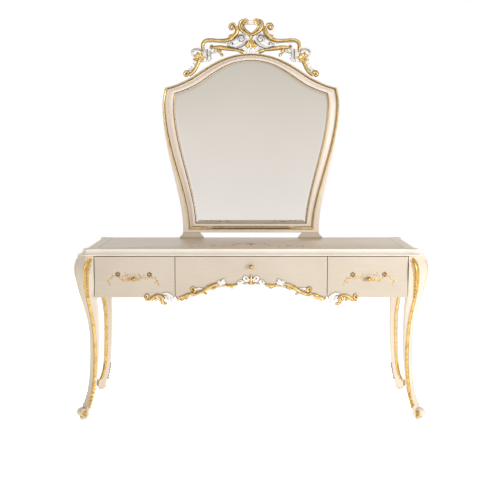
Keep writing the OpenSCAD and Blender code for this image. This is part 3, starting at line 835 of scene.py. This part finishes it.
def leg_carving():
    leaves = relief("leaves", knee_leaf(), on_flank, veined, 4)
    husks = relief("husks", husk_chain(), on_flank, plain_round, 3)
    eye = relief("eye", [curl(0, 0, 14, -100, 460, 6.4), [(-4, 1, 6), (4, -1, 6)]],
                 on_scroll_end, bead_and_round, 4)
    flank = joined("flank", [leaves, husks, eye])
    other = flank.copy()
    other.data = flank.data.copy()
    bpy.context.collection.objects.link(other)
    swap = Matrix(((0, 1, 0, diag * MM), (1, 0, 0, -diag * MM), (0, 0, 1, 0), (0, 0, 0, 1)))
    other.data.transform(swap)
    finish_mesh(other, 50)
    return joined("leg_leaf", [flank, other])


def on_inner_face(a, b, h):
    """a: inward from the outer arris, on the face turned to the front of a rear leg."""
    back = value(flank_slope, b) * (arris_x(b) - value(inner, b))
    return diag + out_y(b) - back - a, value(inner, b) - diag + 0.6 - 0.72 * h, b


def rear_band():
    """The same fillet and husks on the face of a rear leg that is seen under the drawers."""
    strokes = [[(8, 556 - 62 * k, 6) for k in range(9)]]
    for k in range(28):
        b = 552 - 17 * k
        strokes.append([(13, b, 1.8), (8, b - 7, 3.8), (3.4, b - 15, 1.4)])
    return relief("band", strokes, on_inner_face, plain_round, 3)


def arris_line():
    """The line of glaze left along the arris, beside the band."""
    return relief("line", [[(0.9, 600 - 60 * k, 1.5) for k in range(9)]], on_flank, plain_round, 3)


pattern_carving = leg_carving()
pattern_band = rear_band()
pattern_line = arris_line()
for corner, (sx, sy) in corner_signs.items():
    piece = mirrored(pattern_carving, "gilded_leaf_" + corner, sx, sy)
    if sy > 0:
        piece = joined(piece.name, [piece, mirrored(pattern_band, "band", sx, sy)])
    dressed(piece, gold, "gold_leaf", "table", "leg_carving_" + corner)
    line = mirrored(pattern_line, "arris_line_" + corner, sx, sy)
    dressed(line, line_bronze, "gold_leaf", "table")
for pattern in (pattern_carving, pattern_band, pattern_line):
    bpy.data.objects.remove(pattern)

# %% [markdown]
# ## Drawer fronts
# Each front is a board with its edges eased. The middle one is cut to an arch along its lower
# edge, so its outline follows the same raised cosine as the saw did.

# %% Drawer fronts
half_mid = mid_high.x
arch_rise = 60


def arch(x):
    return apron_z + arch_rise * max(0, cos(pi / 2 * x / half_mid)) ** 1.3


def side_outline():
    return [(front_low.x, apron_z), (front_high.x, apron_z), (front_high.x, front_top),
            (front_low.x, front_top)]


arch_points = [(-half_mid + half_mid * k / 20, arch(-half_mid + half_mid * k / 20))
               for k in range(41)]
right_front = board("drawer_board_right", side_outline(), front_y, front_back)
left_front = mirrored(right_front, "drawer_board_left", -1)
middle_front = board("drawer_board_centre", arch_points + [(half_mid, front_top),
                     (-half_mid, front_top)], front_y, front_back)
for piece, side in ((left_front, "left"), (middle_front, "centre"), (right_front, "right")):
    dressed(piece, ivory, "cream_lacquer", side + "_drawer", "drawer_front_" + side)

# %% [markdown]
# ## Knobs
# A knob is turned on a lathe: base, neck and mushroom head. By hand it would be spun; here a disc
# is extruded step by step along the turning and resized at each step, which needs no centre.

# %% Knobs
# (distance out from the front, radius) along the turning
knob_turning = [(0, 7.6), (1.2, 7.8), (2.2, 7.2), (3, 5), (4.6, 3.9), (8.2, 3.5), (10.4, 4.6),
                (11.6, 7.4), (13, 9.3), (15, 10.3), (17.2, 10.3), (19.4, 9.2), (21.4, 7.2),
                (23, 4.4), (23.8, 1.6)]


def knob(name, x, z):
    clear_selection()
    bpy.ops.mesh.primitive_circle_add(vertices=32, fill_type="NGON", rotation=(pi / 2, 0, 0),
                                      radius=knob_turning[0][1] * MM,
                                      location=(x * MM, front_y * MM, z * MM))
    piece = bpy.context.object
    piece.name = name
    bpy.ops.object.transform_apply(location=True, rotation=True, scale=True)
    edit_all()
    for (y0, r0), (y1, r1) in zip(knob_turning, knob_turning[1:]):
        bpy.ops.mesh.extrude_region_move(TRANSFORM_OT_translate={"value": (0, (y0 - y1) * MM, 0)})
        bpy.ops.transform.resize(value=(r1 / r0, 1, r1 / r0), center_override=(
            x * MM, (front_y - y1) * MM, z * MM))
    finish_mesh(piece, 60)
    return piece


side_knob = (524, 649)
for side, x, z in (("left", -side_knob[0], side_knob[1]), ("centre", 0, 704),
                   ("right", side_knob[0], side_knob[1])):
    dressed(knob("turned_knob_" + side, x, z), finishes["polished_brass"], "polished_brass",
            side + "_drawer", "knob_" + side)

# %% [markdown]
# ## Painted garlands
# Each side drawer has a garland painted in thick gold and bronze paint. The paint stands a
# fraction of a millimetre proud, so every petal and leaf is a very low relief on the front.

# %% Garlands


def on_front(a, b, h):
    return a, front_y + 0.03 - 0.25 * h, b


def garland_light():
    """Stems, pale flowers, buds and leaves, on the right drawer."""
    strokes = [
        [(646, 636, 0.9), (634, 640, 1), (622, 656, 1), (606, 660, 1), (594, 656, 1),
         (582, 646, 1), (566, 640, 1), (548, 642, 1), (534, 650, 0.9)],
        [(560, 644, 0.8), (558, 656, 0.8), (552, 666, 0.8), (562, 672, 0.7)],
        [(496, 644, 0.9), (484, 650, 1), (470, 656, 1), (456, 654, 1), (442, 650, 1),
         (428, 648, 1), (420, 636, 1), (416, 626, 0.9)],
        [(494, 646, 0.8), (496, 658, 0.8), (504, 666, 0.7)]]
    strokes += flower(572, 643, 9, 5) + flower(549, 645, 9, 6) + flower(506, 646, 8, 5)
    for a, b, length, angle, width in (
            (646, 636, 13, 150, 3.2), (640, 634, 11, -140, 3), (630, 626, 10, -70, 2.6),
            (622, 656, 12, 110, 2.6), (618, 652, 10, -20, 2.4), (585, 648, 11, 60, 2.4),
            (575, 654, 9, 110, 2.4), (557, 660, 11, 30, 2.6), (555, 662, 11, 150, 2.6),
            (562, 672, 8, 80, 2.2), (538, 648, 9, 40, 2.2), (534, 646, 10, -30, 2.4),
            (494, 652, 10, 150, 2.4), (497, 662, 11, 60, 2.6), (490, 656, 11, 20, 2.2),
            (480, 657, 10, 100, 2.4), (470, 652, 9, -60, 2.2), (440, 652, 11, 60, 2.6),
            (430, 648, 12, 110, 2.6), (424, 640, 11, -160, 2.6), (424, 634, 12, -30, 2.4),
            (417, 628, 12, -110, 3), (462, 652, 8, -110, 2.2)):
        strokes.append(leaf(a, b, length, angle, width))
    return strokes


def garland_dark():
    """The two large six-petalled flowers."""
    return flower(595, 668, 12, 6) + flower(454, 667, 12, 6)


for side, sign in (("right", 1), ("left", -1)):
    for name, strokes, paint in (("stems", garland_light(), garland_gold),
                                 ("flowers", garland_dark(), garland_bronze)):
        drawn = bolder(strokes if sign > 0 else flipped(strokes), 1.35)
        piece = relief("garland_" + name + "_" + side, drawn, on_front, flat_stroke, 3)
        dressed(piece, paint, "gold_leaf", side + "_drawer")

# %% [markdown]
# ## Carving on the fronts
# Along the lower edge of the drawers runs a carved border: gold stems and volutes with white
# leaves tucked between them. Gold and white are two reliefs, because the finish changes with the
# leaf and never within one.

# %% Border of carving


def on_apron(a, b, h):
    """The back of the carving lies on the front; its edges stand 2.5 mm off it."""
    return a, front_y if h < at_back else front_y - 2.2 - 0.85 * h, b


mid_gold = [
    [(268, 584, 3.6), (252, 578, 4.6), (234, 582, 5.4), (212, 594, 6), (190, 608, 6.4),
     (168, 620, 6), (146, 626, 4.4)],
    curl(262, 600, 13, -110, -320, 4.6),
    [(214, 590, 3), (206, 582, 4), (196, 580, 3)],
    [(300, 568, 4), (286, 576, 5), (272, 578, 4), (262, 586, 3)],
    [(278, 572, 4.4), (296, 566, 6), (314, 562, 5.6), (330, 552, 3)],
    [(300, 566, 3.4), (306, 556, 4.4), (316, 549, 2.6)],
    [(284, 572, 3.4), (286, 562, 4.2), (294, 555, 2.4)],
    [(120, 622, 3.4), (104, 617, 5.4), (84, 616, 6), (64, 622, 4)],
    [(98, 616, 3), (90, 609, 3.8), (80, 607, 2.2)],
    [(0, 666, 2.6), (0, 652, 5), (0, 638, 6.4), (0, 622, 3)]]
mid_lobes = [leaf(172, 612, 17, -150, 5), leaf(172, 610, 16, -100, 5), leaf(170, 612, 15, -50, 5),
             leaf(176, 616, 14, 160, 4.4), leaf(248, 590, 13, 110, 4), leaf(4, 646, 20, -52, 4.6),
             leaf(3, 634, 16, -62, 4), leaf(328, 556, 12, 60, 3.6), leaf(194, 606, 13, 80, 3.8),
             leaf(222, 590, 14, 120, 3.8)]
mid_white = [
    curl(22, 651, 14, 190, 340, 5.4, 1.4),
    curl(50, 636, 10, -10, -330, 4.4, 1.4),
    [(36, 640, 4.6), (42, 632, 5), (50, 626, 4.4)],
    [(142, 620, 4), (132, 630, 6.6), (124, 640, 5), (118, 650, 1.6)],
    [(152, 622, 3), (144, 634, 4.6), (138, 643, 1.8)],
    [(126, 622, 3), (118, 630, 4.2), (113, 638, 1.8)],
    [(286, 566, 3), (274, 570, 5), (262, 568, 4), (252, 572, 2)],
    [(248, 600, 2.6), (236, 604, 4.2), (224, 603, 3), (214, 608, 2)],
    [(8, 618, 3), (18, 624, 4), (30, 622, 2.6)]]
side_gold = [
    curl(470, 566, 11, 90, 330, 4.6),
    [(474, 555, 3.6), (460, 552, 4.6), (444, 559, 5.4), (428, 570, 5.6), (412, 573, 5),
     (398, 566, 4.6), (388, 554, 4)],
    [(400, 560, 4), (396, 546, 5.4), (388, 536, 5.4), (376, 536, 3.4)],
    [(406, 568, 3), (410, 556, 4.4), (404, 548, 3)]]
side_lobes = [leaf(430, 562, 17, -120, 5), leaf(424, 562, 16, -80, 5), leaf(434, 560, 15, -40, 4.6),
              leaf(396, 548, 15, -60, 4.6), leaf(392, 542, 14, -100, 4.4)]
side_white = [
    [(396, 580, 2.6), (380, 581, 4.6), (366, 575, 5.6), (354, 566, 4.6), (346, 556, 2)],
    [(376, 574, 3.4), (366, 562, 4.8), (358, 550, 4), (352, 542, 2)],
    [(386, 572, 3), (380, 562, 4), (370, 550, 2.4)]]


def border(side, half_gold, half_lobes, half_white, both):
    """Gold stems, gold lobes and white leaves of one drawer."""
    sets = []
    for strokes in (half_gold, half_lobes, half_white):
        if both:
            strokes = both_sides(strokes)
        elif side == "left":
            strokes = flipped(strokes)
        sets.append(bolder(strokes, 1.38))
    stems = relief("stems", sets[0], on_apron, bead_and_round)
    lobes = relief("lobes", sets[1], on_apron, veined)
    gilt = joined("gilded_border_" + side, [stems, lobes])
    leaves = relief("white_border_" + side, sets[2], on_apron, veined)
    dressed(gilt, apron_leaf, "gold_leaf", side + "_drawer", "drawer_carving_" + side)
    dressed(leaves, apron_white_coat, "white_lacquer", side + "_drawer", "drawer_carving_" + side)


border("centre", mid_gold, mid_lobes, mid_white, True)
border("left", side_gold, side_lobes, side_white, False)
border("right", side_gold, side_lobes, side_white, False)

# %% [markdown]
# ## Mirror frame
# The frame is a moulding that widens towards the foot and turns sharply at its two ears. Three
# outlines drive it: the outer edge, the gilded bead and the sight edge next to the glass. The
# moulding's section is written once, as a place between those outlines and a depth, so it
# stretches and mitres by itself as the outlines come closer.

# %% Frame outlines


def outline(start, *runs):
    """An outline up its right half, each Bezier run starting where the last ended, and back down
    the left. Every outline has the same steps in its runs."""
    points = []
    for (b, c, end), steps in zip(runs, (18, 5, 8, 14)):
        points += bezier(start, b, c, end, steps)
        start = end
    points.append(start)
    return points + [(-x, z) for x, z in points[-2::-1]]


outer_edge = outline((338, 807), ((330, 990), (434, 1190), (434, 1432)),
                     ((434, 1462), (428, 1492), (421, 1519)),
                     ((376, 1528), (330, 1548), (289, 1571)),
                     ((206, 1626), (124, 1684), (0, 1684)))
bead_line = outline((309, 822), ((314, 1010), (424, 1200), (430, 1432)),
                    ((430, 1460), (424, 1488), (417, 1515)),
                    ((374, 1524), (328, 1544), (287, 1567)),
                    ((204, 1622), (124, 1680), (0, 1680)))
sight_edge = outline((271, 856), ((281, 1040), (374, 1240), (376, 1432)),
                     ((376, 1454), (373, 1472), (369, 1490)),
                     ((330, 1500), (290, 1516), (256, 1536)),
                     ((170, 1592), (112, 1647), (0, 1647)))


def station(k, section):
    """The section at one place: 0 is the outer edge, 1 the bead line, 2 the sight edge."""
    ring = []
    for place, depth in section:
        a, b = ((outer_edge, bead_line) if place <= 1 else (bead_line, sight_edge))
        t = place if place <= 1 else place - 1
        x, z = (p + (q - p) * t for p, q in zip(a[k], b[k]))
        ring.append((x, mirror_y + depth, z))
    return ring


def moulding(name, section):
    return skin(name, [station(k, section) for k in range(len(outer_edge))], loop=True)


# %% Frame and bead
thick = mirror_back - mirror_y
glass_depth = 19
# Flat strip, quirk under the bead, cove, round, and a step down to the glass
frame_section = [(0, thick), (0, 3), (0.05, 1.2), (0.2, 0.5), (0.8, 0.5), (1, 0.5), (1.14, 0.5),
                 (1.17, 4), (1.22, 6), (1.3, 6.6), (1.4, 5.6), (1.48, 3.4), (1.56, 1.2),
                 (1.66, 0.2), (1.76, 0.4), (1.85, 2), (1.9, 4.4), (1.915, 8), (1.95, 9),
                 (1.985, 11), (2, 14), (2, glass_depth), (1.74, glass_depth), (1.74, thick)]
moulded_frame = moulding("moulded_mirror_frame", frame_section)
dressed(moulded_frame, ivory_frame, "cream_lacquer", "table", "mirror_frame")
bead_section = [(1, 1), (1, -1.4), (1.02, -3), (1.05, -3.8), (1.08, -3), (1.095, -1.4),
                (1.095, 1)]
bead = moulding("gilded_bead", bead_section)
dressed(bead, pale_gold, "gold_leaf", "table", "frame_gilding")

# %% [markdown]
# A toned line in the quirk inside the bead and a dark line of painted shade at the sight edge
# next to the glass sharpen the moulding. On the bottom rail a finer line runs beside the bead,
# and a gilded stroke swells out of each lower corner.

# %% Quirk line, painted sight shade and corner strokes
quirk_line = moulding("quirk_line", [(1.095, 1), (1.095, -2.2), (1.14, -2.6), (1.19, -1),
                                     (1.2, 5)])
# The sight line is a dark strip of painted shade at the step down to the glass
sight_line = moulding("sight_line", [(1.89, 8), (1.89, 2.2), (1.93, 1.6), (1.965, 2.6),
                                     (1.965, 12)])
quirk_line_and_sight_shade = joined("quirk_line_and_painted_sight_shade", [quirk_line, sight_line])
dressed(quirk_line_and_sight_shade, line_bronze, "gold_leaf", "table")


def on_frame(a, b, h):
    """On the face of the frame, with the back sunk into its hollow."""
    return a, mirror_y + 6 if h < at_back else mirror_y - 1.1 - 0.5 * h, b


rail_strokes = both_sides([[(312, 830, 3), (292, 829, 7), (258, 829, 6), (222, 829, 4.4),
                            (188, 829, 1.6)]])
rail_strokes.append([(-190, 834, 1.8), (0, 834, 1.8), (190, 834, 1.8)])
strokes = relief("gilded_rail_strokes", rail_strokes, on_frame, plain_round, 6)
dressed(strokes, pale_gold, "gold_leaf", "table")

# %% [markdown]
# The glass is a plate with a shallow ground bevel round its edge. Its outline is the sight edge
# grown by eight millimetres, because the glass sits in a rebate behind the moulding.

# %% Glass


def grown(points, d):
    """Each corner of a closed outline moved outwards by d."""
    moved = []
    for i, here in enumerate(points):
        p, before, after = (Vector(q) for q in (here, points[i - 1], points[(i + 1) % len(points)]))
        u, v = (p - before).normalized(), (after - p).normalized()
        left_u, left_v = Vector((-u.y, u.x)), Vector((-v.y, v.x))
        m = (left_u + left_v).normalized()
        moved.append(tuple(p - m * d / m.dot(left_u)))
    return moved


glass_y = mirror_y + glass_depth
glass_rows = [(8, 4), (8, 1.6), (-12, 0.2)]
glass = skin("bevelled_glass", [[(x, glass_y + depth, z) for x, z in grown(sight_edge, d)]
                                for d, depth in glass_rows])
for face in glass.data.polygons:
    face.use_smooth = False
dressed(glass, finishes["silvered_glass"], "silvered_glass", "table", "mirror_glass")

# %% [markdown]
# ## Feet of the mirror
# Two bracket feet lift the frame off the top. Each is a thick board whose sides sweep out in a
# cyma from the neck under the frame to the toe on the table.

# %% Mirror feet
foot_z = frame_low.z


def foot_outline():
    return ([(355, table_h)]
            + bezier((355, 785), (350, 790), (341, 796), (338, foot_z - 2), 8)
            + [(338, foot_z), (252, foot_z)]
            + bezier((252, foot_z - 2), (249, 796), (240, 790), (236, 785), 8)
            + [(236, 785), (236, table_h)])


right_foot = board("bracket_foot_right", foot_outline(), mirror_y, mirror_back, 1.2)
left_foot = mirrored(right_foot, "bracket_foot_left", -1)
for piece, side in ((left_foot, "left"), (right_foot, "right")):
    dressed(piece, ivory, "cream_lacquer", "table", "mirror_foot_" + side)

# %% [markdown]
# ## Crest
# The crest is openwork, carved in one layer with its gold scrolls in front and white leaves and
# ribbons between them. Each stem is a sweep, and each volute winds in by a loop that shrinks its
# radius to an eye.

# %% Crest


def on_crest(front):
    """Lays strokes with their edges at y = front and their flat back 16 mm behind."""
    return lambda a, b, h: (a, front + 16 if h < at_back else front - 0.8 * h, b)


crest_gold = [
    [(304, 1580, 8), (288, 1590, 8), (274, 1606, 8), (264, 1626, 8.4), (256, 1644, 9),
     (250, 1660, 9)],
    curl(315, 1583, 14, 150, -300, 9),
    # The arm: up from the shoulder, along, and through an S-bend into its volute
    [(233, 1692, 6), (236, 1712, 7.4), (234, 1731, 8), (221, 1744, 8), (198, 1748, 7.6),
     (168, 1746, 7.4), (138, 1745, 8), (113, 1748, 9.6), (92, 1760, 11.6), (74, 1779, 12),
     (68, 1798, 11), (74, 1813, 8.6)],
    curl(92, 1808, 18, 150, -330, 7),
    # The heart: two strokes that meet at the collar
    [(34, 1842, 5), (46, 1838, 7), (54, 1826, 8), (54, 1809, 8), (43, 1792, 7.6),
     (26, 1780, 7), (10, 1773, 6), (0, 1770, 5)],
    [(40, 1830, 4), (39, 1816, 5.4), (30, 1800, 5.6), (14, 1785, 5), (0, 1776, 4.4)],
    # The bar across the foot, its end curl and the double drop
    [(184, 1712, 6), (168, 1712, 9), (148, 1712, 10.5), (128, 1709, 10.5), (104, 1706, 10),
     (84, 1703, 8.6), (66, 1700, 6)],
    curl(189, 1716, 9, -100, 300, 5.6),
    [(158, 1706, 6), (156, 1696, 8.4), (148, 1689, 9)],
    [(146, 1684, 5), (143, 1676, 8.6), (145, 1671, 6.4)],
    [(66, 1700, 6.4), (52, 1695, 9.4), (36, 1690, 8.4)],
    [(0, 1776, 6), (0, 1764, 10), (0, 1754, 6)]]
crest_lobes = [
    leaf(256, 1664, 27, 80, 9), leaf(250, 1662, 25, 118, 8.4), leaf(258, 1660, 24, 44, 8.4),
    leaf(246, 1658, 24, 160, 8), leaf(262, 1652, 22, 10, 7), leaf(252, 1654, 20, -150, 7),
    [(38, 1842, 3), (27, 1844, 5), (17, 1838, 5), (14, 1826, 2.4)],
    [(36, 1834, 2.6), (28, 1835, 4), (22, 1829, 4), (20, 1820, 2)],
    [(38, 1826, 2.4), (32, 1824, 3.4), (28, 1817, 2)],
    leaf(0, 1754, 50, -90, 9), leaf(5, 1750, 46, -72, 8), leaf(8, 1732, 26, -40, 7),
    leaf(11, 1723, 22, 4, 6), leaf(98, 1756, 18, 60, 4.6), leaf(86, 1770, 16, 10, 3.6)]
# The plate between arm and drop, then its raised rim, the leaves and the ribbons
crest_white = [
    [(106, 1724, 8), (92, 1726, 12), (74, 1732, 15), (56, 1744, 17), (42, 1756, 17),
     (36, 1764, 9)],
    [(112, 1735, 2.6), (113, 1722, 4), (98, 1713, 5), (76, 1712, 6), (54, 1718, 6.6),
     (34, 1730, 7.2), (22, 1748, 6.8), (21, 1766, 6), (34, 1776, 5), (50, 1775, 4),
     (66, 1767, 3), (82, 1753, 2.6), (100, 1742, 2.2)],
    curl(46, 1755, 11, 150, -330, 4.2),
    curl(96, 1728, 6, 60, -300, 2.8),
    [(66, 1776, 2), (62, 1788, 5), (54, 1798, 2)],
    [(50, 1712, 4), (34, 1704, 6.4), (18, 1693, 6)],
    [(0, 1706, 6), (0, 1696, 9), (0, 1690, 6)],
    [(20, 1834, 8), (8, 1832, 9), (0, 1831, 9)],
    [(228, 1704, 2.4), (229, 1726, 3), (220, 1737, 3), (196, 1739, 2.6), (150, 1737, 2.6),
     (122, 1734, 2.4)],
    [(290, 1600, 3), (300, 1608, 5), (306, 1602, 3)],
    [(284, 1606, 3), (288, 1616, 5), (294, 1620, 2)],
    [(272, 1620, 3), (276, 1632, 4.6), (282, 1638, 2)],
    [(226, 1644, 8), (222, 1664, 8), (220, 1686, 7.4), (217, 1704, 4)],
    [(206, 1652, 5), (203, 1670, 6), (206, 1690, 6.6), (200, 1705, 6), (186, 1707, 3)],
    [(214, 1648, 5), (200, 1656, 5), (190, 1662, 2)],
    curl(176, 1696, 10, 100, 300, 4.4),
    [(200, 1690, 4), (190, 1688, 5), (178, 1686, 3)]]
# Dark strokes in the cuts of the white carving, as painted shade
crest_cut_shade = [
    [(66, 1742, 0.8), (64, 1756, 1.7), (53, 1768, 2), (39, 1767, 2.1), (32, 1754, 2.2),
     (38, 1741, 2), (50, 1738, 1.5), (57, 1747, 1.6), (51, 1757, 1.9), (44, 1753, 1)],
    [(106, 1724, 0.8), (102, 1733, 1.6), (93, 1734, 1.9), (87, 1728, 1.5), (93, 1724, 0.8)],
    [(84, 1748, 0.8), (74, 1758, 1.6), (66, 1766, 0.8)],
    [(112, 1718, 0.8), (98, 1708, 1.6), (76, 1706, 1.9), (52, 1712, 1.9), (31, 1725, 1.6),
     (17, 1744, 0.8)],
    [(213, 1652, 1), (211, 1672, 2), (213, 1692, 2), (210, 1704, 1)],
    [(196, 1664, 0.8), (194, 1678, 1.6), (197, 1692, 0.8)],
    [(240, 1688, 0.8), (247, 1700, 1.4), (264, 1703, 1.6), (280, 1698, 1.4), (288, 1687, 0.8)]]
ribbon = [(240, 1676, 4.6), (238, 1690, 5.6), (246, 1701, 6), (264, 1704, 6), (281, 1699, 5.8),
          (289, 1688, 5.2), (284, 1677, 4.8), (268, 1671, 3.8)]

stems = relief("stems", both_sides(crest_gold), on_crest(212), bead_and_round, 5)
lobes = relief("lobes", both_sides(bolder(crest_lobes, 1.25)), on_crest(209), veined, 4)
gilt_crest = joined("gilded_crest", [stems, lobes])
dressed(gilt_crest, crest_leaf, "gold_leaf", "table", "crest_gold_scrolls")
white_crest = relief("white_crest", both_sides(bolder(crest_white + [ribbon], 1.12)),
                     on_crest(214), veined, 5)
dressed(white_crest, crest_white_coat, "white_lacquer", "table", "crest_white_scrolls")


def on_plate(a, b, h):
    """A line of painted shade across the front of the white carving, sunk into it at the back."""
    return a, 208 if h < at_back else 201.6 - 0.2 * h, b


glaze_and_shade = relief("painted_shade_crest_cuts", both_sides(crest_cut_shade), on_plate, flat_stroke, 5)
dressed(glaze_and_shade, cut_shade_brown, "white_lacquer", "table")
